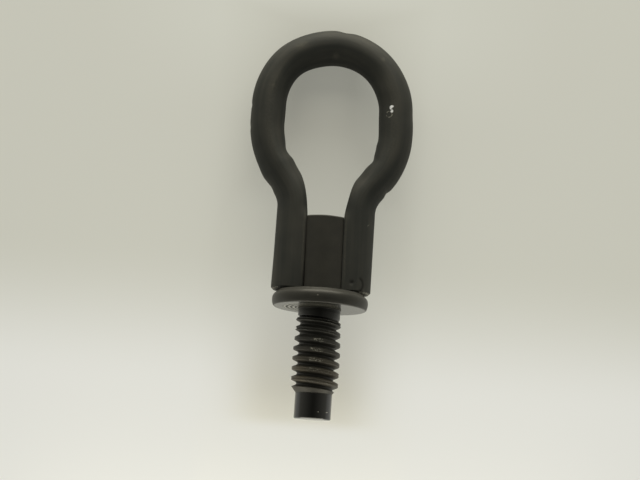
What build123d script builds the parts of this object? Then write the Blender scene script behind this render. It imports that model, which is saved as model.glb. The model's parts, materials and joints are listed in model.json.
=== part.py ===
# Tow eye: a round bar bent to an eye, its two legs welded to the sides of a flanged, threaded stud.
# It is drawn upright, the screw axis on Z and the flange's seat face at Z = 0, and then laid down
# as it comes to rest, on the flange's rim and on the far end of the eye.

import os
from math import asin, atan2, degrees, hypot, radians, sqrt, tan

from build123d import *

# Eye bar
bar_diameter = 14.0
eye_radius = 26.6            # centreline of the eye's round end
eye_height = 84.4            # centre of the round end above the seat face
eye_shift = -0.4             # the hand of the bend: the round end sits a little to the left
leg_offset = 13.1            # leg centreline to screw axis
waist_height = 45.8          # corner between a leg and its shoulder
waist_radius = 16.3          # centreline radius of that corner
left_shoulder_angle = 33.6   # lean of the left shoulder, degrees from the screw axis
left_shoulder_radius = 36.0
right_shoulder_angle = 38.2
right_shoulder_radius = 28.0
least_limb = 0.5             # a shoulder's bend leaves at least this much straight limb above it
leg_gap = 0.4                # the legs end this far above the flange
leg_chamfer = 0.9

# Pressed flats inside the legs
flare_gap = 0.8              # the flats start to part this far above the shank's end
flare_radius = 43.0

# Stud above the seat face
shank_diameter = 17.2
shank_top = 37.1
shank_chamfer = 0.5
flange_diameter = 38.8
flange_thickness = 6.2
crown_radius = 5.5           # bulge of the flange's rim
crown_height = 2.7           # widest place of the rim above the seat face
rim_top_fillet = 1.3
rim_seat_chamfer = 0.4

# Stud below the seat face
neck_diameter = 17.0
neck_length = 4.6
run_out = 2.2                # the thread sinks into the neck over this length
thread_pitch = 4.0
thread_diameter = 18.8
root_diameter = 14.0
thread_length = 29.4         # from the neck to the pilot
run_in = 2.8                 # length over which the first turn rises from the pilot
thread_start = -10.45        # height of the crest on the +X side, by whole turns
crest_width = 1.5            # along the axis
crest_drop = 0.3             # the rounded crest falls this much to its edges
ridge_width = 3.4            # along the axis, where the ridge stands on the root
ridge_sink = 0.4             # the ridge reaches this far into the core that carries it
pilot_diameter = 14.5
pilot_length = 10.2
tip_chamfer = 0.3

bar_radius = bar_diameter / 2
shank_radius = shank_diameter / 2
flange_radius = flange_diameter / 2
neck_radius = neck_diameter / 2
crest_radius = thread_diameter / 2
root_radius = root_diameter / 2
pilot_radius = pilot_diameter / 2
leg_end = flange_thickness + leg_gap
thread_end = -neck_length - thread_length
tip = thread_end - pilot_length
full_from = thread_end + run_in + crest_width / 2
full_to = -neck_length - run_out - crest_width / 2

# The weld face is the plane where the round leg and the round shank would cross.
weld_face = (leg_offset**2 + shank_radius**2 - bar_radius**2) / (2 * leg_offset)


def eye_side(side, shoulder_angle, shoulder_radius):
    """Centreline of one side, from the leg's end up to the round end; side is -1 left, 1 right."""
    leg_x = side * leg_offset
    limb_x = eye_shift + side * eye_radius
    shoulder_rise = abs(limb_x - leg_x) / tan(radians(shoulder_angle))
    limb = eye_height - waist_height - shoulder_rise
    most_radius = (limb - least_limb) / tan(radians(shoulder_angle) / 2)
    corners = [
        (leg_x, 0, leg_end),
        (leg_x, 0, waist_height),
        (limb_x, 0, waist_height + shoulder_rise),
        (limb_x, 0, eye_height),
    ]
    return FilletPolyline(*corners, radius=[waist_radius, min(shoulder_radius, most_radius)])


def press_blocks():
    """Blocks between the legs: one straight along the weld faces up to the shank's end, and two above it
    that flare away from the axis until they have left the bar."""
    foot = leg_end - leg_gap
    flare_start = shank_top + flare_gap
    flare_top = waist_height + bar_diameter
    flare_x = weld_face + flare_radius - sqrt(flare_radius**2 - (flare_top - flare_start) ** 2)
    base = Polyline((0, flare_top), (0, flare_start), (weld_face, flare_start))
    flare = TangentArc((weld_face, flare_start), (flare_x, flare_top), tangent=(0, 1))
    right_flare = make_face([base, flare, Line((flare_x, flare_top), (0, flare_top))])
    straight = Pos(0, (foot + flare_start) / 2) * Rectangle(2 * weld_face, flare_start - foot)
    outlines = [straight, right_flare, mirror(right_flare, about=Plane.YZ)]
    return [extrude(Plane.XZ * outline, amount=bar_diameter, both=True) for outline in outlines]


def make_eye_loop():
    left = eye_side(-1, left_shoulder_angle, left_shoulder_radius)
    right = eye_side(1, right_shoulder_angle, right_shoulder_radius)
    round_end = ThreePointArc(left @ 1, (eye_shift, 0, eye_height + eye_radius), right @ 1)
    path = Wire([*left.edges(), round_end, *right.edges()])
    section = Plane(origin=left @ 0, z_dir=left % 0) * Circle(bar_radius)
    bar = sweep(section, path=path)
    end_edges = bar.edges().filter_by(GeomType.CIRCLE).group_by(Axis.Z)[0]
    bar = chamfer(end_edges, leg_chamfer)
    for block in press_blocks():
        bar = bar - block
    return bar


def thread_ridge(low, high):
    """Left-hand ridge between two heights of its crest: its section swept along a helix. Its crest is on
    the +X side at the height where the full turns begin."""
    edge = crest_radius - crest_drop
    base = root_radius - ridge_sink
    flank_slope = (ridge_width - crest_width) / 2 / (edge - root_radius)
    base_half = ridge_width / 2 + ridge_sink * flank_slope
    crest = ThreePointArc((edge, -crest_width / 2), (crest_radius, 0), (edge, crest_width / 2))
    sides = Polyline(
        (edge, crest_width / 2), (base, base_half), (base, -base_half), (edge, -crest_width / 2)
    )
    section = Plane.XZ * make_face([crest, sides])
    helix = Helix(thread_pitch, high - low, root_radius, lefthand=True)
    turn = (full_from - low) * 360 / thread_pitch
    swept = sweep(section, path=helix, is_frenet=True)
    return Pos(0, 0, low) * (Rot(Z=turn) * Solid(swept.shell()))


def make_thread():
    """Three lengths of ridge that meet end to end: the first rises from the pilot, the next has the
    full turns, and the last sinks into the neck. Only the outer two are trimmed."""
    rise = (crest_radius - pilot_radius + ridge_sink) / run_in
    sink = (crest_radius - neck_radius + ridge_sink) / run_out
    clear = crest_radius + ridge_sink
    deep = pilot_radius - 2 * ridge_sink
    foot = thread_end - ridge_sink / rise
    head = -neck_length - run_out + (crest_radius - deep) / sink
    envelope = Polyline(
        (0, foot),
        (deep, foot),
        (clear, thread_end + (clear - pilot_radius + ridge_sink) / rise),
        (clear, -neck_length - run_out - (clear - crest_radius) / sink),
        (deep, head),
        (0, head),
        close=True,
    )
    envelope = revolve(Plane.XZ * make_face(envelope), axis=Axis.Z)
    return [
        thread_ridge(thread_end - ridge_width / 2, full_from) & envelope,
        thread_ridge(full_from, full_to),
        thread_ridge(full_to, -neck_length + ridge_width / 2) & envelope,
    ]


def make_stud_body():
    """Turned outline of the stud, from the tip up to the end of the shank, with the thread's root."""
    crown_x = flange_radius - crown_radius
    seat_x = crown_x + sqrt(crown_radius**2 - crown_height**2)
    top_x = crown_x + sqrt(crown_radius**2 - (flange_thickness - crown_height) ** 2)
    below = Polyline(
        (0, shank_top),
        (0, tip),
        (pilot_radius - tip_chamfer, tip),
        (pilot_radius, tip + tip_chamfer),
        (pilot_radius, thread_end),
        (root_radius, thread_end),
        (root_radius, -neck_length - run_out),
        (neck_radius, -neck_length),
        (neck_radius, 0),
        (seat_x, 0),
    )
    rim = ThreePointArc((seat_x, 0), (flange_radius, crown_height), (top_x, flange_thickness))
    above = Polyline(
        (top_x, flange_thickness),
        (shank_radius, flange_thickness),
        (shank_radius, shank_top - shank_chamfer),
        (shank_radius - shank_chamfer, shank_top),
        (0, shank_top),
    )
    outline = make_face([below, rim, above])
    outline = fillet(outline.vertices().sort_by_distance((top_x, flange_thickness))[0], rim_top_fillet)
    outline = chamfer(outline.vertices().sort_by_distance((seat_x, 0))[0], rim_seat_chamfer)
    return revolve(Plane.XZ * outline, axis=Axis.Z)


def make_threaded_stud():
    flat_height = shank_top - flange_thickness
    flat_depth = shank_radius - weld_face
    flat = Box(flat_depth, shank_diameter, flat_height, align=(Align.MIN, Align.CENTER, Align.MIN))
    flats = [
        Pos(weld_face, 0, flange_thickness) * flat,
        Pos(-weld_face - flat_depth, 0, flange_thickness) * flat,
    ]
    stud = make_stud_body()
    for ridge in make_thread():
        stud = stud + ridge
    return Rot(Z=(thread_start - full_from) * 360 / thread_pitch) * stud - flats


def rest_tilt():
    """Lean of the screw axis in degrees when the rim's crown and the end of the eye touch one floor."""
    along = eye_height + eye_radius - crown_height
    across = flange_radius - crown_radius
    return degrees(atan2(across, along) + asin((crown_radius - bar_radius) / hypot(along, across)))


def lay_down(pieces):
    """Turn the pieces from upright to rest, eye towards +Y, with the origin under the middle of the box."""
    laid = {name: Rot(X=-90 - rest_tilt()) * piece for name, piece in pieces.items()}
    box = Compound(list(laid.values())).bounding_box()
    middle = box.center()
    return {name: Pos(-middle.X, -middle.Y, -box.min.Z) * piece for name, piece in laid.items()}


os.makedirs("parts", exist_ok=True)
upright = {"eye_loop": make_eye_loop(), "threaded_stud": make_threaded_stud()}
for name, piece in lay_down(upright).items():
    export_step(piece, f"parts/{name}.step")
    box = piece.bounding_box()
    print(f"{name}: {piece.volume / 1000:.2f} cm3, lowest point {box.min.Z:.3f} mm")
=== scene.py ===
# %% [markdown]
# # A screw-in tow eye
# A tow eye is kept in the boot of a car and screwed into a socket in the bumper when the car has to be
# towed. It is two pieces of steel: a round bar bent to an eye, and a stud with a flange and a coarse
# left-hand thread. The legs of the bar are pressed and welded to the sides of the stud, and the whole
# is coated black. Here it lies as it comes to rest, and the camera looks down on it.

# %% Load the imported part
import json
import math

import bpy
import numpy as np
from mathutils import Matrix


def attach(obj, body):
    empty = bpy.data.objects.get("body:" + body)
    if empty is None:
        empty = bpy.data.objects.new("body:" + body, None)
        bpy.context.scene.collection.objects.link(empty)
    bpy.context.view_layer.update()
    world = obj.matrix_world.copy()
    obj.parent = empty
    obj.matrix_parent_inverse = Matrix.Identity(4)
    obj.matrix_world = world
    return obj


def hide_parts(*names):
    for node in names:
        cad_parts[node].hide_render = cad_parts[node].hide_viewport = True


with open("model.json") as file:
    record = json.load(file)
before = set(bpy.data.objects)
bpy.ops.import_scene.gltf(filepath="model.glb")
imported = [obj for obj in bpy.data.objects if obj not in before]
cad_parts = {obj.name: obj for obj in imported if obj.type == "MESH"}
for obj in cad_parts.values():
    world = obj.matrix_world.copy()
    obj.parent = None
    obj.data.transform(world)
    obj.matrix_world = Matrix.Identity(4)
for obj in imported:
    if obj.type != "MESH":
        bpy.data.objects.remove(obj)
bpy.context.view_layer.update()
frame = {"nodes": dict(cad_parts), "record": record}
print("nodes:", sorted(frame["nodes"]))

# %% [markdown]
# ## The part's own directions
# Every size below is in millimetres in the directions a maker would use: across the eye, along the
# screw axis from the flange's seat towards the eye, and out of the eye's plane. The pieces could be
# fitted to the solids by eye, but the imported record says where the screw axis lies, so they land where
# the solids are with nothing to fit.

# %% From the maker's directions to the frame
mounts = {mount["name"]: mount for mount in frame["record"]["mounts"]}
pilot_point = np.array(mounts["pilot"]["pos_m"])
seat_point = np.array(mounts["flange_seat"]["pos_m"])
to_tip = np.array(mounts["pilot"]["axis"])
to_tip = to_tip / np.linalg.norm(to_tip)
seat_centre = pilot_point + to_tip * np.dot(seat_point - pilot_point, to_tip)
across = np.array([1.0, 0.0, 0.0])
along = -to_tip
outward = np.cross(across, along)
mm = 0.001


def place(x, s, n):
    """Frame metres of whole arrays in mm: the seat's centre plus x across, s along and n outward."""
    sizes = np.stack(np.broadcast_arrays(x, s, n), axis=-1) * mm
    return seat_centre + sizes @ np.stack([across, along, outward])


print("lean of the screw axis:", round(math.degrees(math.asin(to_tip[2])), 2), "degrees")

# %% [markdown]
# ## Surfaces from grids
# Both pieces are skins over a grid of rings: one direction runs along the piece, the other round it.
# A bevelled curve and the Screw modifier could draw the plain shapes too, but on a grid every dent and
# every mark can be given by its place. The grid is filled as whole arrays, its last column is joined to
# its first, and each end is closed by a fan of triangles round one middle point, so that the skin has
# no seam and no hole.

# %% A closed skin from a grid of rings
sharp_angle = math.radians(38)


def ring_skin(name, rings, node):
    """Mesh object of a grid (rings, points round, 3): quads between rings, a fan of triangles on each end."""
    ring_count, round_count = rings.shape[:2]
    numbers = np.arange(ring_count * round_count).reshape(ring_count, round_count)
    onward = np.roll(numbers, -1, axis=1)
    quads = np.stack([numbers[:-1], onward[:-1], onward[1:], numbers[1:]], axis=-1).reshape(-1, 4)
    first_pole = numbers.size
    last_pole = first_pole + 1
    first_fan = np.stack([onward[0], numbers[0], np.full(round_count, first_pole)], axis=-1)
    last_fan = np.stack([numbers[-1], onward[-1], np.full(round_count, last_pole)], axis=-1)
    poles = np.stack([rings[0].mean(axis=0), rings[-1].mean(axis=0)])
    points = np.concatenate([rings.reshape(-1, 3), poles])
    mesh = bpy.data.meshes.new(name)
    mesh.from_pydata(points.tolist(), [], quads.tolist() + first_fan.tolist() + last_fan.tolist())
    mesh.polygons.foreach_set("use_smooth", np.ones(len(mesh.polygons), dtype=bool))
    mesh.set_sharp_from_angle(angle=sharp_angle)
    mesh.update()
    piece = bpy.data.objects.new(name, mesh)
    bpy.context.collection.objects.link(piece)
    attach(piece, "root")
    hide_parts(node)
    print(name, "has", len(quads) * 2 + 2 * round_count, "triangles")
    return piece


# %% [markdown]
# ## The eye: a walk along the bar
# The bar is bent cold round formers, so its centreline is a chain of straight runs and arcs. It could be
# drawn as a curve with handles, but then no radius could be read from it. A walk keeps the formers' sizes:
# the heading is the running sum of the curvature, and the place is the running sum of the heading's sine
# and cosine.

# %% Sizes of the bar and its runs
bar_radius = 7.0
eye_radius = 26.6
eye_height = 84.4
eye_shift = -0.4
leg_offset = 13.1
leg_end = 6.6
leg_chamfer = 0.9
waist_height = 45.8
waist_radius = 16.3
left_shoulder_angle = math.radians(33.6)
left_shoulder_radius = 36.0
right_shoulder_angle = math.radians(38.2)
right_shoulder_radius = 28.0


def side_runs(side, angle, shoulder_radius):
    """Length and curvature of each run of one side, from the leg's end to the round end. An arc is its
    radius times its angle long, and takes its radius times the half angle's tangent off its neighbours."""
    reach = abs(eye_shift + side * eye_radius) - leg_offset
    rise = reach / math.tan(angle)
    waist_tangent = waist_radius * math.tan(angle / 2)
    shoulder_tangent = shoulder_radius * math.tan(angle / 2)
    slant = reach / math.sin(angle)
    return [
        (leg_chamfer, 0.0),
        (waist_height - leg_end - leg_chamfer - waist_tangent, 0.0),
        (waist_radius * angle, -1.0 / waist_radius),
        (slant - waist_tangent - shoulder_tangent, 0.0),
        (shoulder_radius * angle, 1.0 / shoulder_radius),
        (eye_height - waist_height - rise - shoulder_tangent, 0.0),
    ]


left_runs = side_runs(-1, left_shoulder_angle, left_shoulder_radius)
right_runs = side_runs(1, right_shoulder_angle, right_shoulder_radius)
bar_runs = left_runs + [(math.pi * eye_radius, 1.0 / eye_radius)] + right_runs[::-1]
print("the bar has", len(bar_runs), "runs")

# %% [markdown]
# Each run is cut into whole steps, so that no step straddles the place where a bend begins.

# %% Walk along the centreline
ring_gap = 0.42
step_counts = [math.ceil(length / ring_gap) for length, curvature in bar_runs]
run_lengths = np.array([length for length, curvature in bar_runs])
steps = np.repeat(run_lengths / step_counts, step_counts)
turns = steps * np.repeat([curvature for length, curvature in bar_runs], step_counts)
heading = np.concatenate([[0.0], np.cumsum(turns)])
middle_heading = heading[:-1] + turns / 2
walked = np.concatenate([[0.0], np.cumsum(steps)])
bar_x = -leg_offset + np.concatenate([[0.0], np.cumsum(np.sin(middle_heading) * steps)])
bar_s = leg_end + np.concatenate([[0.0], np.cumsum(np.cos(middle_heading) * steps)])
side_x = -np.cos(heading)
side_s = np.sin(heading)
bar_length = walked[-1]
print("bar length:", round(bar_length, 1), "mm, ends at", bar_x[-1].round(3), bar_s[-1].round(3))

# %% [markdown]
# The bend was not quite even: the bar wanders by up to half a millimetre from its formers. Moving single
# points would leave corners, so each stretch is a soft bell along the bar, on its outward side, given by
# an amount, a place and a length. The left leg also stands a little outwards at its foot.

# %% The hand of the bend
def bell(distance, width):
    """Smooth hump: e to the power of minus the square of distance over width."""
    return np.exp(-((distance / width) ** 2))


def ease(value, low, high):
    """Smooth step from 0 at low to 1 at high: three times the share's square less twice its cube."""
    share = np.clip((value - low) / (high - low), 0.0, 1.0)
    return share * share * (3.0 - 2.0 * share)


def nearest_step(x, s):
    """Number of the step with the least distance to a place in the eye's plane."""
    return np.argmin(np.hypot(bar_x - x, bar_s - s))


# Amount outwards, place across and along, and length, in mm.
stretches = {
    "right shoulder": (0.4, 26.2, 73.0, 7.0),
    "left of the round end": (0.5, -18.5, 103.5, 9.0),
    "far end": (0.2, 1.0, 111.0, 8.0),
    "right of the round end": (-0.3, 22.0, 97.0, 9.0),
}
wander = sum(
    amount * bell(walked - walked[nearest_step(x, s)], length)
    for amount, x, s, length in stretches.values()
)
left_foot = 0.15
wander = wander + left_foot * (1.0 - ease(walked, 2.0, 15.0))
bar_x = bar_x + wander * side_x
bar_s = bar_s + wander * side_s
print("the bar wanders by up to", np.abs(wander).max().round(2), "mm")

# %% [markdown]
# ## The bar's skin and its faults
# A ring of points is set round each step. The ring's angle is counted from the outer side of the bend
# towards the viewer. A fault could be carved by hand with a brush, but one that is written down can be
# changed: it is given by its place as the viewer sees it, its depth, its length along the bar and its
# width round it.

# %% Rings round the bar
round_count = 104
ring_angle = np.arange(round_count) * 2 * math.pi / round_count
to_end = np.minimum(walked, bar_length - walked)
ring_radius = bar_radius - leg_chamfer * np.clip(1.0 - to_end / leg_chamfer, 0.0, 1.0)


def from_place(x, s):
    """Distances in mm from a place on the bar's near side, one grid for each: along the bar, the walked
    length less the place's; round it, the turn from the place's angle times the bar's radius."""
    nearest = nearest_step(x, s)
    offset = (x - bar_x[nearest]) * side_x[nearest] + (s - bar_s[nearest]) * side_s[nearest]
    angle = np.arccos(np.clip(offset / bar_radius, -1.0, 1.0))
    turned = np.angle(np.exp(1j * (ring_angle - angle)))
    return (walked - walked[nearest])[:, None], (turned * bar_radius)[None, :]


def on_bar(amount, x, s, length, width):
    """Mark on the bar's grid at a place: its amount times a bell along the bar times a bell round it."""
    lengthwise, roundwise = from_place(x, s)
    return amount * (bell(lengthwise, length) * bell(roundwise, width))


print("rings:", len(walked), "of", round_count, "points")

# %% [markdown]
# The bending tools have left dents on the inner and outer sides of the waist and the shoulders, and have
# pushed metal up beside them. Inside the far end, where the bar was bent most, it has swollen, and the
# eye has been knocked a few times. A dent is taken off the radius, and a hump is a dent below zero.

# %% Dents and humps
# Depth, place across and along, length along the bar and width round it, in mm.
bar_faults = {
    "dent inside the left shoulder": (0.85, -17.2, 65.5, 3.9, 5.0),
    "hump below that dent": (-0.2, -15.2, 60.8, 1.8, 5.0),
    "flat inside the left waist": (0.25, -12.0, 56.0, 6.0, 6.0),
    "dent inside the right shoulder": (0.85, 17.0, 63.0, 3.2, 5.0),
    "hump above that dent": (-0.3, 19.2, 70.0, 2.5, 5.0),
    "hump inside the right limb": (-0.35, 19.6, 91.0, 5.0, 5.0),
    "flat inside the right waist": (0.75, 12.6, 55.0, 4.6, 5.0),
    "hump outside the right limb": (-0.3, 33.0, 78.0, 5.0, 6.0),
    "hump inside the left limb": (-0.35, -19.8, 84.0, 12.0, 6.0),
    "swelling inside the far end": (-0.85, -1.0, 103.4, 17.0, 6.0),
    "dent outside the left waist": (0.4, -23.6, 48.7, 2.2, 5.0),
    "hump outside the left waist": (-0.35, -26.6, 53.6, 2.6, 5.0),
    "dent outside the right waist": (0.55, 25.3, 48.9, 1.5, 5.0),
    "knock on the far end": (0.7, 3.9, 118.2, 2.2, 5.0),
    "nick outside the left limb": (0.4, -34.3, 83.2, 0.9, 1.5),
    "small nick below that one": (0.2, -33.7, 74.1, 1.0, 2.0),
}
faults = sum(on_bar(*fault) for fault in bar_faults.values())
print("dents to", faults.max().round(2), "mm, humps to", -faults.min().round(2), "mm")

# %% [markdown]
# Near the end of the right leg is the mark of a press tool: a shallow curved groove with a dot beside it.
# The groove is the part of a circle on the right of its middle.

# %% The press mark
press_radius = 3.1
press_depth = 0.22
press_dot = (12.2, 10.5)
press_along, press_round = from_place(13.75, 9.8)
from_press = np.hypot(press_along, press_round)
right_part = ease(press_round, -0.8, -2.2)
faults = faults + press_depth * bell(from_press - press_radius, 0.4) * right_part
faults = faults + on_bar(0.4, *press_dot, 0.6, 0.6)
print("press mark:", press_depth, "mm deep, on a radius of", press_radius, "mm")

# %% [markdown]
# The left limb has a soft crease along its middle, where the bending tool lay against it. It stands
# highest on its own line and falls away on both sides like a tent.

# %% The crease of the left limb
crease_height = 0.4
crease_slope = 2.5
crease_along, crease_round = from_place(-25.6, 80.0)
crease_run = ease(crease_along, -34.0, -22.0) * ease(crease_along, 24.0, 12.0)
faults = faults - crease_height * crease_run * np.exp(-np.abs(crease_round) / crease_slope)
print("crease:", crease_height, "mm high")

# %% [markdown]
# Squeezed between the press tools, the legs have filled out beside the stud, so that the seams between
# leg and stud are narrow cracks and not deep grooves. The bar's radius grows there on both sides of its
# inner flat.

# %% Metal squeezed towards the seams
shank_radius = 8.6
shank_top = 37.1
squeeze = 1.05
squeeze_angle = math.radians(43)
squeeze_width = math.radians(19)
from_inner = np.abs(np.angle(np.exp(1j * (ring_angle - math.pi))))
beside_stud = 1.0 - ease(bar_s, shank_top - 2.0, shank_top + 5.0)
squeezed = squeeze * beside_stud[:, None] * bell(from_inner - squeeze_angle, squeeze_width)
radius_grid = ring_radius[:, None] - faults + squeezed
reach_out = radius_grid * np.cos(ring_angle)
loop_x = bar_x[:, None] + side_x[:, None] * reach_out
loop_s = bar_s[:, None] + side_s[:, None] * reach_out
loop_n = radius_grid * np.sin(ring_angle)
print("bar radius from", radius_grid[2:-2].min().round(2), "to", radius_grid.max().round(2), "mm")

# %% [markdown]
# The legs were squeezed on a block, so their inner sides are flat where they lie against the stud, and
# the flats part gently above it, more on the right. The stud sits a little to the right between them
# near the flange. The flats could be cut with a Boolean, but then the grid would be lost, so the block
# is only a distance from the axis for every point.

# %% Where the flats lie
flare_start = shank_top + 0.8
flare_radius = 43.0
flare_length = 19.5
most_lean = 0.65
right_opening = 0.75
left_opening = 0.2
weld_face = (leg_offset**2 + shank_radius**2 - bar_radius**2) / (2 * leg_offset)


def seam_lean(s):
    """How far in mm the stud sits to the right: an ease from 0 below the shank's top to most at the legs'
    ends."""
    return most_lean * ease(s, shank_top - 2.0, leg_end)


flare_height = np.clip(loop_s - flare_start, 0.0, flare_length)
flat_x = weld_face + flare_radius - np.sqrt(flare_radius**2 - flare_height**2)
side = np.where(walked < bar_length / 2, -1.0, 1.0)[:, None]
opening = np.where(side > 0, right_opening, left_opening) * ease(loop_s, shank_top - 1.5, shank_top + 9.0)
block_x = flat_x + opening + side * seam_lean(loop_s)
print("weld faces:", round(weld_face, 3), "mm from the axis")

# %% [markdown]
# Each point that would stand inside the block is moved out to its face. Were that all, the flat's edge
# would fall between two points of a ring and look torn, so the outermost of the moved points goes to
# the edge, where the round side begins, and the others are stretched with it.

# %% Press the flats
crack_depth = 0.1
most_reach = 6.5
edged_top = flare_start + 2.0


def edge_outward(n, moved, radius, reach):
    """Outward sizes with the moved points of each ring stretched to the flat's edge, which is the root of
    the radius squared less the reach squared, less the crack's depth."""
    edge = np.sqrt(radius**2 - reach**2) - crack_depth
    outermost = np.max(np.abs(n) * moved, axis=1, keepdims=True)
    return np.where(moved, n * edge / np.maximum(outermost, 1.0), n)


moved = (side * loop_x < block_x) & (loop_s < edged_top)
filled_radius = bar_radius + squeeze * beside_stud[:, None]
flat_reach = np.minimum(side * bar_x[:, None] - block_x, most_reach)
loop_n = edge_outward(loop_n, moved, filled_radius, flat_reach)
pressed = side * np.maximum(side * loop_x, block_x)
loop_x = np.where(loop_s < flare_start + flare_length, pressed, loop_x)
eye_loop = ring_skin("eye_bar", place(loop_x, loop_s, loop_n), "eye_loop")

# %% [markdown]
# ## The stud: one turned outline with a thread on it
# The stud is turned, so its skin is an outline of radius against length, carried round the axis. The
# Screw modifier could carry it, but it gives every turn the same radius, and a thread needs a radius that
# changes with the turn too. The outline starts in the middle of the shank's end and ends in the middle of
# the tip. It has straight pieces and arcs, and the flange's rim bulges with a bevel on its upper side.

# %% Sizes of the stud
shank_edge = 0.5
flange_radius = 19.4
flange_thickness = 6.2
crown_radius = 5.5
crown_height = 2.7
bevel_angle = math.radians(48)
bevel_start = math.radians(8)
bevel_round = 2.6
seat_round = 0.8
collar_radius = 8.65
collar_length = 0.6
collar_step = 0.1
neck_radius = 8.5
neck_length = 3.8
thread_end = -34.0
pilot_radius = 7.35
tip = -44.2
tip_edge = 0.3
pole_radius = 0.4
crown = (flange_radius - crown_radius, crown_height)
corner_reach = crown_radius - bevel_round
corner = (crown[0] + corner_reach * math.cos(bevel_start), crown[1] + corner_reach * math.sin(bevel_start))
bevel_foot = (
    corner[0] + bevel_round * math.cos(bevel_angle),
    corner[1] + bevel_round * math.sin(bevel_angle),
)
bevel_top = bevel_foot[0] - (flange_thickness - bevel_foot[1]) * math.tan(bevel_angle)
seat_drop = crown_height - seat_round
seat_reach = math.sqrt((crown_radius - seat_round) ** 2 - seat_drop**2)
seat_corner = (crown[0] + seat_reach, seat_round)
seat_angle = -math.atan2(seat_drop, seat_reach)
print("the bevel runs in to radius", round(bevel_top, 2), "mm")

# %% [markdown]
# Each piece of the outline gets as many points as its detail needs. The thread has the most, because each
# of its turns is only four millimetres long.

# %% The stud's outline
def line(start, end, count):
    """Points of radius and length in equal steps along a straight piece, without its last point."""
    return np.linspace(start, end, count, endpoint=False)


def arc(middle, radius, start, end, count):
    """Points along an arc: its middle plus the radius times the cosine and sine of angles in radians."""
    angles = np.linspace(start, end, count, endpoint=False)
    return np.array(middle) + radius * np.stack([np.cos(angles), np.sin(angles)], axis=-1)


outline = np.concatenate(
    [
        line((pole_radius, shank_top), (shank_radius - shank_edge, shank_top), 12),
        line((shank_radius - shank_edge, shank_top), (shank_radius, shank_top - shank_edge), 3),
        line((shank_radius, shank_top - shank_edge), (shank_radius, flange_thickness), 50),
        line((shank_radius, flange_thickness), (bevel_top, flange_thickness), 16),
        line((bevel_top, flange_thickness), bevel_foot, 10),
        arc(corner, bevel_round, bevel_angle, bevel_start, 12),
        arc(crown, crown_radius, bevel_start, seat_angle, 36),
        arc(seat_corner, seat_round, seat_angle, -math.pi / 2, 10),
        line((seat_corner[0], 0.0), (collar_radius, 0.0), 28),
        line((collar_radius, 0.0), (collar_radius, -collar_length), 12),
        line((collar_radius, -collar_length), (neck_radius, -collar_length - collar_step), 3),
        line((neck_radius, -collar_length - collar_step), (neck_radius, -neck_length), 14),
        line((neck_radius, -neck_length), (pilot_radius, thread_end), 236),
        line((pilot_radius, thread_end), (pilot_radius, tip + tip_edge), 24),
        line((pilot_radius, tip + tip_edge), (pilot_radius - tip_edge, tip), 3),
        line((pilot_radius - tip_edge, tip), (pole_radius, tip), 10),
    ]
)
outline_steps = np.hypot(*np.diff(outline, axis=0).T)
outline_length = np.concatenate([[0.0], np.cumsum(outline_steps)])
print("outline rows:", len(outline))

# %% [markdown]
# The thread is left-hand, and its crest climbs one pitch for each turn, so a point's distance from the
# nearest crest follows from how far along the axis and how far round it lies. A ridge swept on its own
# would leave a crease where it meets the core. Here crest and root are one skin.

# %% Carry the outline round and find the crests
thread_pitch = 4.0
thread_start = -10.45
crest_half = 0.45
ridge_half = 1.8
turn_count = 176
turn = np.arange(turn_count) * 2 * math.pi / turn_count
stud_s = np.repeat(outline[:, 1][:, None], turn_count, axis=1)
stud_r = np.repeat(outline[:, 0][:, None], turn_count, axis=1)
pitches = (stud_s - thread_start) / thread_pitch - turn / (2 * math.pi)
above_crest = thread_pitch * (pitches - np.round(pitches))
from_crest = np.abs(above_crest)
ridge = 1.0 - ease(from_crest, crest_half, ridge_half)
print("turns of the thread:", round((-neck_length - thread_end) / thread_pitch, 1))

# %% [markdown]
# The thread is rolled, so the plain neck is the blank it was rolled from: at the run-out both crest and
# root go back to the neck. Where the rolls have not filled the crest, near both ends, it is left with a
# fine seam between two lips, and on the neck a last low lip runs out, with a narrow groove on its upper
# side.

# %% Roll the thread
crest_radius = 9.5
first_crest_loss = 0.4
root_radius = 7.3
run_in = 2.8
run_out = 2.4
seam_depth = 0.32
seam_width = 0.22
first_seam_depth = 0.45
first_seam_width = 0.35
lip_place = -4.8
lip_height = 0.35
lip_run = 0.9
groove_place = lip_place + 0.8
groove_depth = 0.9
groove_offset = 0.85
groove_width = 0.35
groove_run = 1.4
unfilled = np.maximum(ease(stud_s, -15.0, -8.5), ease(stud_s, -22.0, -29.0))
seam = seam_depth * unfilled * bell(from_crest, seam_width)
seam = seam + first_seam_depth * ease(stud_s, -10.0, -7.0) * bell(from_crest, first_seam_width)
crest_height = crest_radius - first_crest_loss * ease(stud_s, -20.0, -8.0) - root_radius
thread_r = root_radius + crest_height * ridge - seam
risen = np.clip((stud_s - thread_end) / run_in, 0.0, 1.0)
thread_r = np.minimum(thread_r, pilot_radius + (crest_radius - pilot_radius) * risen)
blank = ease(stud_s, -neck_length - run_out, -neck_length)
lip = lip_height * ridge * bell(stud_s - lip_place, lip_run)
groove = groove_depth * bell(above_crest - groove_offset, groove_width)
groove = groove * bell(stud_s - groove_place, groove_run)
thread_r = thread_r * (1.0 - blank) + neck_radius * blank + lip - groove
in_thread = (stud_s <= -collar_length - 1.0) & (stud_s > thread_end)
stud_r = np.where(in_thread, thread_r, stud_r)
rolled_r = thread_r[in_thread]
print("thread radius from", rolled_r.min().round(2), "to", rolled_r.max().round(2), "mm")

# %% [markdown]
# Between the legs the shank has two flats, against which the legs lie. It too was squeezed and has filled
# out beside them, and near the flange it sits a little to the right, as the legs do.

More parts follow.
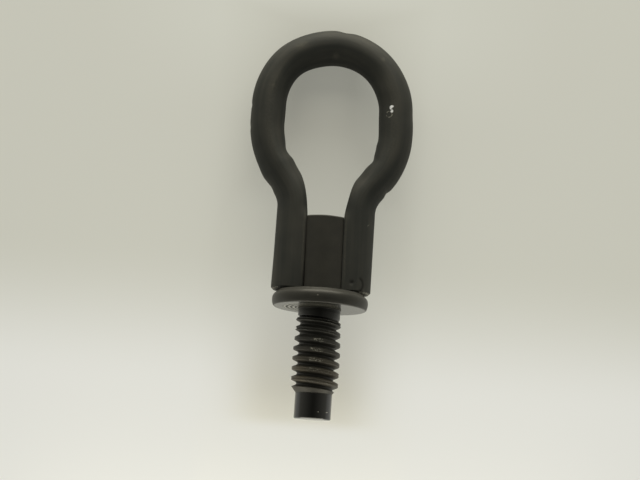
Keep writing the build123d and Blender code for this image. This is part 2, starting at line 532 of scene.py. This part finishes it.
# %% The stud's skin
on_shank = stud_s > flange_thickness + 0.01
shank_squeeze = 0.85
fill_offset = 0.12
fill_width = 0.3
seam_turn = math.asin(math.sqrt(shank_radius**2 - weld_face**2) / shank_radius)
from_side = np.arctan2(np.abs(np.sin(turn)), np.abs(np.cos(turn)))
stud_r = stud_r + on_shank * shank_squeeze * bell(from_side - seam_turn - fill_offset, fill_width)
stud_x = stud_r * np.cos(turn)
stud_n = stud_r * np.sin(turn)
moved = on_shank & (np.abs(stud_x) > weld_face)
stud_n = edge_outward(stud_n, moved, shank_radius + shank_squeeze, weld_face)
stud_x = np.where(on_shank, np.clip(stud_x, -weld_face, weld_face) + seam_lean(stud_s), stud_x)
stud = ring_skin("flanged_stud", place(stud_x, stud_s, stud_n), "threaded_stud")

# %% [markdown]
# ## Where the wear and the painted light are
# A painted image could say where the coat is worn, but numbers kept on the mesh stay with its shape. The
# bar has two bright chips with a scuffed ring on the right limb, and spots where something pale has
# rubbed off on it. The materials read these numbers.

# %% Chips, scuffs and smudges on the bar
# Amount, place across and along, length along the bar and width round it, in mm.
bar_chips = {
    "upper chip": (1.2, 24.05, 84.8, 0.7, 0.95),
    "lower chip": (0.85, 24.25, 82.6, 0.8, 1.1),
    "bridge between them": (0.5, 23.7, 84.0, 0.5, 0.5),
}
bar_scuffs = {
    "scuff below the chips": (0.7, 22.6, 76.8, 0.8, 0.6),
    "scuff on their right": (0.7, 25.5, 75.2, 0.6, 1.0),
}
bar_smudges = {
    "inside the far end": (1.0, -0.3, 105.9, 1.5, 1.2),
    "right of the round end": (1.0, 19.4, 105.1, 0.9, 0.8),
    "left of the round end": (1.0, -15.1, 108.7, 2.4, 1.2),
    "left limb": (0.6, -25.4, 90.3, 1.0, 1.0),
}
chips = sum(on_bar(*chip) for chip in bar_chips.values())
scuffs_and_highlights = sum(on_bar(*scuff) for scuff in bar_scuffs.values())
smudges_and_highlights = sum(on_bar(*smudge) for smudge in bar_smudges.values())
scuff_ring = 1.3
scuff_along, scuff_round = from_place(23.2, 81.6)
scuffs_and_highlights = scuffs_and_highlights + bell(np.hypot(scuff_along, scuff_round) - scuff_ring, 0.45)
scratch_along, scratch_round = from_place(17.6, 34.6)
scratch = bell(scratch_along - scratch_round, 0.4) * bell(scratch_along + scratch_round, 2.6)
scuffs_and_highlights = scuffs_and_highlights + 1.1 * scratch
print("chips up to", chips.max().round(2), "and scuffs up to", scuffs_and_highlights.max().round(2))

# %% [markdown]
# The coat is also painted paler along the top of the limbs and in a strip beside each seam, which is painted
# highlight, and the outer corners of the legs' ends are painted pale, which is painted highlight too. The
# press mark is painted dark, which is painted shade in its groove. The numbers along, across and outward are
# the place within the bar, for the streaks of the rolling.

# %% Wear, painted highlights and painted shade kept on the bar
def ring_values(piece, name, values):
    """Keep one number for each point of the grid on the mesh, with the end rings' mean on the poles."""
    ends = [values[0].mean(), values[-1].mean()]
    attribute = piece.data.attributes.new(name, "FLOAT", "POINT")
    attribute.data.foreach_set("value", np.concatenate([values.ravel(), ends]).astype(np.float32))


# Painted highlight: the smudges get a pale band along the top of the limbs.
limb_highlight_angle = math.pi / 2 + 0.15
from_limb_highlight = np.abs(np.angle(np.exp(1j * (ring_angle - limb_highlight_angle)))) * bar_radius
limb_highlight_run = ease(loop_s, 55.0, 68.0) * ease(loop_s, 104.0, 92.0)
smudges_and_highlights = smudges_and_highlights + 0.35 * limb_highlight_run * bell(from_limb_highlight, 2.0)
# Painted highlight: a pale strip on the legs beside each seam, put in with the smudges.
from_seam = np.abs(loop_x - seam_lean(loop_s)) - weld_face
seam_highlight_run = (loop_n > 0) * ease(loop_s, 8.0, 16.0) * ease(loop_s, shank_top + 5.0, shank_top - 3.0)
smudges_and_highlights = smudges_and_highlights + 0.7 * seam_highlight_run * bell(from_seam - 0.9, 0.4)
# Painted highlight: the outer corners of the legs' ends are painted pale, put in with the scuffs.
right_end_highlight = 1.0
left_end_highlight = 0.87
lit_end_corners = np.where(loop_x > 0.0, right_end_highlight, left_end_highlight) * (1.0 - ease(to_end, 0.5, 1.1))[:, None]
scuffs_and_highlights = scuffs_and_highlights + lit_end_corners * (np.abs(loop_x) > 15.0)
# Painted shade: the press mark's groove and dot are painted dark.
painted_press_shade = bell(from_press - press_radius, 0.45) * right_part + on_bar(1.0, *press_dot, 0.5, 0.5)
bar_wear_and_light = {
    "painted_press_shade": painted_press_shade,
    "chips": chips,
    "scuffs_and_highlights": scuffs_and_highlights,
    "smudges_and_highlights": smudges_and_highlights,
    "along": np.repeat(walked[:, None], round_count, axis=1),
    "across": reach_out,
    "outward": loop_n,
}
for name, values in bar_wear_and_light.items():
    ring_values(eye_loop, name, values)
print("kept on the bar:", ", ".join(bar_wear_and_light))

# %% [markdown]
# On the stud the same is kept by radius and length: rubbed crests, made stronger on the left as painted
# light, bright specks on the side that faces the viewer, the smooth parts, and how deep the turning tool's
# rings are on the seat and the collar, with their painted reflection most on the seat's left. The number
# outline is the length along the outline, for the spacing of those rings.

# %% Wear and painted light kept on the stud
front = ease(np.sin(turn), 0.88, 0.98)[None, :]
rubbed_and_lit = in_thread * ridge * ease(stud_s, -14.0, -28.0) * (0.3 + 0.7 * ease(stud_s, -32.5, -30.0))
# Painted light: the rub is made stronger on the left side of the thread, which stands for light from that
# side.
rubbed_and_lit = rubbed_and_lit * (0.9 + 0.7 * ease(np.cos(turn), -0.1, -0.8))
specks = in_thread * ridge * front * ease(stud_s, -10.0, -13.0) * ease(stud_s, -29.0, -25.0)
pilot_marks = bell(stud_x - 2.3, 1.1) + bell(stud_x - 5.7, 0.9)
specks = specks + 1.2 * (stud_n > 0) * pilot_marks * bell(stud_s + 41.4, 0.5)
specks = specks + 1.2 * front * bell(stud_x + 0.8, 0.9) * bell(stud_s - 2.7, 0.45)
seat = 1.0 * ((stud_s < 0.1) & (stud_s > -0.01) & (stud_r > collar_radius + 0.01))
collar = 1.0 * ((stud_s < -0.01) & (stud_s > -collar_length - 0.01))
neck = 1.0 * ((stud_s < -collar_length - 0.01) & (stud_s > -neck_length - 1.0))
rim = (stud_s > 0.1) & (stud_s <= flange_thickness) & (stud_r > shank_radius + 1.0)
plain = neck + (stud_s < thread_end)
# The seat's rings, and their painted reflection, are strongest on its left.
seat_reflection_sides = 0.4 * ease(stud_x, 9.0, 6.0) + 0.6 * ease(stud_x, -5.0, -9.0)
stud_wear_and_light = {
    "rubbed_and_lit": rubbed_and_lit,
    "specks": specks,
    "smooth": seat + plain - 0.45 * neck + 0.12 * rim,
    "plain": plain,
    "turned": seat * ease(stud_r, 15.2, 14.2) * seat_reflection_sides + 0.4 * collar,
    "threaded": 1.0 * in_thread,
    "outline": np.repeat(outline_length[:, None], turn_count, axis=1),
}
for name, values in stud_wear_and_light.items():
    ring_values(stud, name, values)
print("kept on the stud:", ", ".join(stud_wear_and_light))

# %% [markdown]
# ## Materials
# Colours are written as they look on a screen, and one function turns them to the linear values that
# light is reckoned in. One more function adds a node, sets it and links it.

# %% Colours and nodes
def screen_colour(code):
    """Linear colour of an sRGB hex value: each channel over 12.92 if dark, else a power of 2.4."""
    channels = np.array([int(code[i : i + 2], 16) for i in (1, 3, 5)]) / 255.0
    linear = np.where(channels <= 0.04045, channels / 12.92, ((channels + 0.055) / 1.055) ** 2.4)
    return (*linear.tolist(), 1.0)


def add(tree, kind, inputs=None, **settings):
    """Add a node: settings go on the node, and each input takes a value or the output that feeds it."""
    node = tree.nodes.new(kind)
    for name, value in settings.items():
        setattr(node, name, value)
    for name, value in (inputs or {}).items():
        if isinstance(value, bpy.types.NodeSocket):
            tree.links.new(value, node.inputs[name])
        else:
            node.inputs[name].default_value = value
    return node


def empty_material(name):
    """Material with an empty node tree, and that tree."""
    material = bpy.data.materials.new(name)
    material.use_nodes = True
    material.node_tree.nodes.clear()
    return material, material.node_tree


# %% [markdown]
# The bar has a black electrocoat over a hot-rolled skin. It is matt, with hardly a shine, and the rolling
# under it shows as faint streaks along the bar. The streaks could follow Object coordinates, but those
# don't bend with the bar, so they follow the place within it that is kept on the mesh. The coat's real
# grit is finer than a tenth of a millimetre, so its grain is drawn coarser, as far as it needs to show.

# %% Patterns of the bar's coat
bar_coat, tree = empty_material("black electrocoat on hot-rolled steel bar")
per_mm = 1000.0
bar_grain = 0.9
patch_size = 14.0
streak_width = 2.5
streak_stretch = 16.0
where = add(tree, "ShaderNodeTexCoord").outputs["Object"]
kept = {
    name: add(tree, "ShaderNodeAttribute", attribute_name=name).outputs["Fac"] for name in bar_wear_and_light
}
stretched = add(tree, "ShaderNodeMath", {0: kept["along"], 1: 1.0 / streak_stretch}, operation="MULTIPLY")
drawn = add(
    tree,
    "ShaderNodeCombineXYZ",
    {"X": stretched.outputs[0], "Y": kept["across"], "Z": kept["outward"]},
)
noises = {
    "grain": {"Vector": where, "Scale": per_mm / bar_grain, "Detail": 2.0},
    "patches": {"Vector": where, "Scale": per_mm / patch_size, "Detail": 2.0},
    "streaks": {"Vector": drawn.outputs["Vector"], "Scale": 1.0 / streak_width, "Detail": 2.0},
}
pattern = {name: add(tree, "ShaderNodeTexNoise", noise).outputs["Fac"] for name, noise in noises.items()}
uneven = add(tree, "ShaderNodeMath", {0: pattern["patches"], 1: pattern["streaks"]}).outputs[0]
mottle = add(
    tree,
    "ShaderNodeMapRange",
    {"Value": uneven, "From Min": 0.75, "From Max": 1.25, "To Min": 0.0, "To Max": 1.0},
).outputs["Result"]
print(bar_coat.name, "reads", ", ".join(kept))

# %% [markdown]
# The wear lies over the coat in layers: dark painted shade in the press mark, pale smudges together with
# painted highlights along the limbs and beside the seams, grey scuffs together with painted highlights on the
# corners of the legs' ends, and white metal where the coat is chipped. The grain is added to a scuff or a
# chip before it is cut off, which makes its edge ragged. A coat's index of refraction is about 1.5, and 1.3
# gives this one its dull face.

# %% Black electrocoat on hot-rolled bar
smudge_and_highlight_share = add(
    tree, "ShaderNodeMath", {0: kept["smudges_and_highlights"], 1: pattern["grain"]}, operation="MULTIPLY"
).outputs[0]
# Where the ragged edge starts and ends, and how far the layer covers the coat within it.
breaks = {"scuffs_and_highlights": (1.3, 1.5, 0.7), "chips": (0.95, 1.25, 1.0)}
broken = {}
for name, (start, end, most) in breaks.items():
    ragged = add(tree, "ShaderNodeMath", {0: kept[name], 1: pattern["grain"]}).outputs[0]
    ramp = {"Value": ragged, "From Min": start, "From Max": end, "To Min": 0.0, "To Max": most}
    broken[name] = add(tree, "ShaderNodeMapRange", ramp).outputs["Result"]
coat = add(
    tree,
    "ShaderNodeMix",
    {0: mottle, 6: screen_colour("#2e302f"), 7: screen_colour("#3c3c39")},
    data_type="RGBA",
).outputs[2]
# Painted shade and painted highlights are among these layers: the press mark's dark, and pale parts of the
# smudges and scuffs.
layers = [
    (kept["painted_press_shade"], "#191918"),
    (smudge_and_highlight_share, "#5a5851"),
    (broken["scuffs_and_highlights"], "#8f8e86"),
    (broken["chips"], "#f0f3fa"),
]
for share, colour in layers:
    layer = {0: share, 6: coat, 7: screen_colour(colour)}
    coat = add(tree, "ShaderNodeMix", layer, data_type="RGBA").outputs[2]
relief = add(tree, "ShaderNodeBump", {"Height": pattern["grain"], "Strength": 0.25, "Distance": 0.1 * mm})
shader = add(
    tree,
    "ShaderNodeBsdfPrincipled",
    {"Base Color": coat, "Roughness": 0.6, "IOR": 1.3, "Normal": relief.outputs["Normal"]},
)
add(tree, "ShaderNodeOutputMaterial", {"Surface": shader.outputs["BSDF"]})
eye_loop.data.materials.append(bar_coat)
print(bar_coat.name, "has", len(tree.nodes), "nodes")

# %% [markdown]
# The stud has the same coat over a turned surface, so it is smoother and blacker. The socket has rubbed
# the crests of the thread brown and has left bright specks on them, and the plain neck and pilot are the
# blackest. The grain and the specks are drawn coarser than they are, so that they show.

# %% Colours of the stud's coat
stud_coat, tree = empty_material("black electrocoat on turned steel")
stud_grain = 0.7
mottle_size = 5.0
speck_size = 0.5
where = add(tree, "ShaderNodeTexCoord").outputs["Object"]
kept = {
    name: add(tree, "ShaderNodeAttribute", attribute_name=name).outputs["Fac"] for name in stud_wear_and_light
}
noises = {
    "grain": {"Vector": where, "Scale": per_mm / stud_grain, "Detail": 2.0},
    "mottle": {"Vector": where, "Scale": per_mm / mottle_size, "Detail": 3.0},
    "dots": {"Vector": where, "Scale": per_mm / speck_size, "Detail": 1.0},
}
pattern = {name: add(tree, "ShaderNodeTexNoise", noise).outputs["Fac"] for name, noise in noises.items()}
rubbed_and_lit_part = add(
    tree, "ShaderNodeMath", {0: kept["rubbed_and_lit"], 1: pattern["mottle"]}, operation="MULTIPLY"
).outputs[0]
speck_sum = add(tree, "ShaderNodeMath", {0: kept["specks"], 1: pattern["dots"]}).outputs[0]
specked = add(
    tree,
    "ShaderNodeMapRange",
    {"Value": speck_sum, "From Min": 1.53, "From Max": 1.63, "To Min": 0.0, "To Max": 0.7},
).outputs["Result"]
coat = add(
    tree,
    "ShaderNodeMix",
    {0: pattern["mottle"], 6: screen_colour("#2a2a28"), 7: screen_colour("#383733")},
    data_type="RGBA",
).outputs[2]
# The rubbed layer also carries painted light on the thread's left.
for share, colour in [(rubbed_and_lit_part, "#554e42"), (kept["plain"], "#0d0d0c"), (specked, "#b3b1a8")]:
    layer = {0: share, 6: coat, 7: screen_colour(colour)}
    coat = add(tree, "ShaderNodeMix", layer, data_type="RGBA").outputs[2]
print(stud_coat.name, "reads", ", ".join(kept))

# %% [markdown]
# The flange's seat is the smoothest: seen at a flat angle it mirrors the pale floor, and the rings of the
# turning tool show in it. Their pale and dark bands are also painted into the coat's colour, a painted
# reflection. A tool leaves a ring every few tenths of a millimetre, which is too fine to show, so they are
# drawn 1.8 mm apart, as a sine of the length along the outline.

# %% The turning tool's rings and their painted reflection
tool_feed = 1.8
ring_phase = add(
    tree, "ShaderNodeMath", {0: kept["outline"], 1: 2 * math.pi / tool_feed}, operation="MULTIPLY"
).outputs[0]
ring_wave = add(tree, "ShaderNodeMath", {0: ring_phase}, operation="SINE").outputs[0]
ring_level = add(
    tree,
    "ShaderNodeMapRange",
    {"Value": ring_wave, "From Min": -0.6, "From Max": 0.6, "To Min": 0.0, "To Max": 1.0},
).outputs["Result"]
# Painted reflection: pale and dark bands of the rings are put into the coat's colour.
ring_reflection_colour = add(
    tree,
    "ShaderNodeMix",
    {0: ring_level, 6: screen_colour("#74736b"), 7: screen_colour("#1e1e1c")},
    data_type="RGBA",
).outputs[2]
coat = add(tree, "ShaderNodeMix", {0: kept["turned"], 6: coat, 7: ring_reflection_colour}, data_type="RGBA").outputs[2]
rings = add(tree, "ShaderNodeMath", {0: ring_level, 1: kept["turned"]}, operation="MULTIPLY").outputs[0]
print("rings on the seat every", tool_feed, "mm")

# %% [markdown]
# Roughness and shine follow how smooth each part was turned: a roughness of 0.45 on the rough parts and
# 0.16 on the smooth ones, and an index of refraction from 1.34 to 1.6. The thread is rough from the
# rolls, and the tool's rings are rougher than the seat between them.

# %% Black electrocoat on turned steel
even_gloss = add(
    tree,
    "ShaderNodeMapRange",
    {"Value": kept["smooth"], "From Min": 0.0, "From Max": 1.0, "To Min": 0.45, "To Max": 0.16},
).outputs["Result"]
gloss = add(tree, "ShaderNodeMath", {0: rings, 1: 0.35, 2: even_gloss}, operation="MULTIPLY_ADD").outputs[0]
shine = add(
    tree,
    "ShaderNodeMapRange",
    {"Value": kept["smooth"], "From Min": 0.0, "From Max": 1.0, "To Min": 1.34, "To Max": 1.6},
).outputs["Result"]
rough_thread = add(
    tree, "ShaderNodeMath", {0: pattern["grain"], 1: kept["threaded"]}, operation="MULTIPLY"
).outputs[0]
rolled = add(tree, "ShaderNodeBump", {"Height": rough_thread, "Strength": 0.6, "Distance": 0.1 * mm})
relief = add(
    tree,
    "ShaderNodeBump",
    {"Height": rings, "Strength": 1.0, "Distance": 0.03 * mm, "Normal": rolled.outputs["Normal"]},
)
shader = add(
    tree,
    "ShaderNodeBsdfPrincipled",
    {"Base Color": coat, "Roughness": gloss, "IOR": shine, "Normal": relief.outputs["Normal"]},
)
add(tree, "ShaderNodeOutputMaterial", {"Surface": shader.outputs["BSDF"]})
stud.data.materials.append(stud_coat)
print(stud_coat.name, "has", len(tree.nodes), "nodes")

# %% [markdown]
# ## The floor
# Under the part is a pale, slightly yellow sheet of matt paper that takes the part's shadow.

# %% Pale sheet
floor_half = 1.5
floor_points = [(-floor_half, -floor_half, 0), (floor_half, -floor_half, 0)]
floor_points += [(floor_half, floor_half, 0), (-floor_half, floor_half, 0)]
floor_mesh = bpy.data.meshes.new("floor")
floor_mesh.from_pydata(floor_points, [], [(0, 1, 2, 3)])
floor = bpy.data.objects.new("floor", floor_mesh)
bpy.context.collection.objects.link(floor)
print("the floor is", 2 * floor_half, "m wide")

# %% [markdown]
# More light would make the sheet paler, but it would also fall on the part. So a share of the sheet's
# brightness is its own. The share is least inside the eye, where the sheet lies in shade, and it grows to
# the sides, beyond the eye and towards the screw's end. Each of these changes is a ramp along the part or
# sideways from it.

# %% Where the sheet is bright
axis_shift = 0.004
paper, tree = empty_material("matt paper sheet")
where = add(tree, "ShaderNodeTexCoord").outputs["Object"]
spot = add(tree, "ShaderNodeSeparateXYZ", {"Vector": where}).outputs
from_axis = add(tree, "ShaderNodeMath", {0: spot["X"], 1: axis_shift}).outputs[0]
sideways = add(tree, "ShaderNodeMath", {0: from_axis}, operation="ABSOLUTE").outputs[0]
# What each ramp follows, where it starts and ends in metres, its value there, and its kind.
ramps = {
    "near legs": (spot["Y"], 0.04, 0.005, 0.23, 0.52, "LINEAR"),
    "beside": (sideways, 0.012, 0.046, 0.23, 0.6, "LINEAR"),
    "beyond eye": (spot["Y"], 0.0855, 0.0965, 0.23, 0.6, "LINEAR"),
    "towards tip": (spot["Y"], -0.011, -0.072, 0.0, 1.0, "SMOOTHSTEP"),
    "beside screw": (sideways, 0.014, 0.04, 0.65, 0.0, "SMOOTHSTEP"),
    "below seat": (spot["Y"], -0.03, -0.07, 0.0, 1.0, "LINEAR"),
    "above tip": (spot["Y"], -0.088, -0.081, 0.0, 1.0, "SMOOTHSTEP"),
    "round end": (spot["Y"], 0.045, 0.085, 0.0, 0.2, "LINEAR"),
    "middle": (sideways, 0.1, 0.05, 0.0, 1.0, "LINEAR"),
}
part = {}
for name, (follows, start, end, low, high, kind) in ramps.items():
    ramp = {"Value": follows, "From Min": start, "From Max": end, "To Min": low, "To Max": high}
    part[name] = add(tree, "ShaderNodeMapRange", ramp, interpolation_type=kind).outputs["Result"]
print("ramps on the sheet:", ", ".join(part))

# %% [markdown]
# The larger of two ramps counts where they meet. Along the screw the share is made smaller towards the
# tip, so that the screw's shadow shows there.

# %% The sheet's own share
tip_gain = 0.2
# The operation of each sum and what goes into it.
sums = {
    "along screw": ("MULTIPLY", "below seat", "above tip"),
    "screw shade": ("MULTIPLY", "beside screw", "along screw"),
    "on axis": ("MAXIMUM", "near legs", "beyond eye"),
    "off axis": ("MAXIMUM", "on axis", "beside"),
    "plain": ("MULTIPLY_ADD", "round end", "middle", "off axis"),
}
for name, (operation, *terms) in sums.items():
    inputs = {i: part[term] for i, term in enumerate(terms)}
    part[name] = add(tree, "ShaderNodeMath", inputs, operation=operation).outputs[0]
bright_share = add(
    tree, "ShaderNodeMath", {0: part["towards tip"], 1: tip_gain, 2: part["plain"]}, operation="MULTIPLY_ADD"
).outputs[0]
own_share = add(
    tree, "ShaderNodeMath", {0: bright_share, 1: part["screw shade"]}, operation="SUBTRACT"
).outputs[0]
print("sums on the sheet:", ", ".join(sums))

# %% [markdown]
# The sheet's own share shows to the camera and in reflections only, so that it lights nothing. The rest is
# matt paper, which scatters light the same to all sides.

# %% Matt paper
# Painted light: the sheet's own glow is paler towards the screw's end and greyer away from it.
own_colour = add(
    tree,
    "ShaderNodeMix",
    {0: part["towards tip"], 6: screen_colour("#cecec1"), 7: screen_colour("#e4e4dd")},
    data_type="RGBA",
).outputs[2]
ray = add(tree, "ShaderNodeLightPath").outputs
mirrored = add(tree, "ShaderNodeMath", {0: ray["Is Glossy Ray"], 1: ray["Is Transmission Ray"]}).outputs[0]
seen = add(tree, "ShaderNodeMath", {0: ray["Is Camera Ray"], 1: mirrored}, use_clamp=True).outputs[0]
shown_share = add(tree, "ShaderNodeMath", {0: own_share, 1: seen}, operation="MULTIPLY").outputs[0]
matt = add(tree, "ShaderNodeBsdfDiffuse", {"Color": screen_colour("#f3f4f3")})
own = add(tree, "ShaderNodeEmission", {"Color": own_colour, "Strength": 1.0})
sheet = add(tree, "ShaderNodeMixShader", {0: shown_share, 1: matt.outputs[0], 2: own.outputs[0]})
add(tree, "ShaderNodeOutputMaterial", {"Surface": sheet.outputs[0]})
floor_mesh.materials.append(paper)
print(paper.name, "has", len(tree.nodes), "nodes")

# %% [markdown]
# ## The light
# A large softbox stands low beyond the eye, and a bright strip almost level with the floor under it: the
# strip shades the bar from its outer edge to its middle. A small softbox stands low before the tip, as
# near as a white card would, and lightens the thread's flanks and the flange's edge. A lamp's power is
# worked out from how bright its face looks, so that a change of size doesn't change its brightness.

# %% Softboxes
def softbox(name, side, rise, distance, width, depth, brightness):
    """Lamp on the side 1 (+Y) or -1, risen by an angle and facing the part; power: brightness x pi x area."""
    data = bpy.data.lights.new(name, "AREA")
    data.shape = "RECTANGLE"
    data.size = width
    data.size_y = depth
    data.energy = brightness * math.pi * width * depth
    data.color = screen_colour("#fff9e4")[:3]
    lamp = bpy.data.objects.new(name, data)
    lamp.location = (0.0, side * distance * math.cos(rise), distance * math.sin(rise))
    lamp.rotation_euler = (side * (rise - math.pi / 2), 0.0, 0.0)
    bpy.context.collection.objects.link(lamp)
    print(name, "has", round(data.energy, 2), "W")


softbox("softbox", side=1, rise=math.radians(30), distance=1.0, width=1.7, depth=0.6, brightness=1.5)
softbox("strip", side=1, rise=math.radians(4), distance=1.0, width=1.0, depth=0.1, brightness=30.0)
softbox("card", side=-1, rise=math.radians(12), distance=0.16, width=0.25, depth=0.06, brightness=3.3)

# %% [markdown]
# The rest is a pale horizon all round under a dark ceiling. One even grey would light the part as well,
# but it would mirror as one flat tone: the ceiling makes the smooth stud black in the middle, and the
# horizon gives it its light edges.

# %% Pale horizon under a dark ceiling
horizon = 0.43
ceiling = 0.05
falloff = 0.6
world = bpy.data.worlds.new("room")
world.use_nodes = True
tree = world.node_tree
tree.nodes.clear()
direction = add(tree, "ShaderNodeTexCoord").outputs["Generated"]
height = add(tree, "ShaderNodeSeparateXYZ", {"Vector": direction}).outputs["Z"]
below_ceiling = add(tree, "ShaderNodeMath", {0: 1.0, 1: height}, operation="SUBTRACT").outputs[0]
paleness = add(tree, "ShaderNodeMath", {0: below_ceiling, 1: falloff}, operation="POWER").outputs[0]
strength = add(
    tree, "ShaderNodeMath", {0: paleness, 1: horizon, 2: ceiling}, operation="MULTIPLY_ADD"
).outputs[0]
light = add(tree, "ShaderNodeBackground", {"Color": screen_colour("#fffdec"), "Strength": strength})
add(tree, "ShaderNodeOutputWorld", {"Surface": light.outputs["Background"]})
bpy.context.scene.world = world
print("horizon", round(horizon + ceiling, 2), "and ceiling", ceiling)

# %% [markdown]
# ## The camera
# The camera stands almost straight above the part, a little towards the screw's end, so that it sees
# the flange's seat and the end of the pilot at a flat angle. Its place and turn were fitted to the
# outlines of the flange and the bar.

# %% Camera
camera_place = (0.004454, -0.046463, 0.483947)
camera_turn = (4.7086, 0.3889, 3.8399)
camera_data = bpy.data.cameras.new("camera")
camera_data.lens = 64.6875
camera_data.sensor_width = 36.0
camera_data.clip_start = 0.01
camera_data.clip_end = 10.0
camera = bpy.data.objects.new("camera", camera_data)
camera.location = camera_place
camera.rotation_euler = [math.radians(angle) for angle in camera_turn]
bpy.context.collection.objects.link(camera)
bpy.context.scene.camera = camera
bpy.context.scene.view_settings.view_transform = "Standard"
print("camera", round(camera_place[2], 3), "m above the floor")
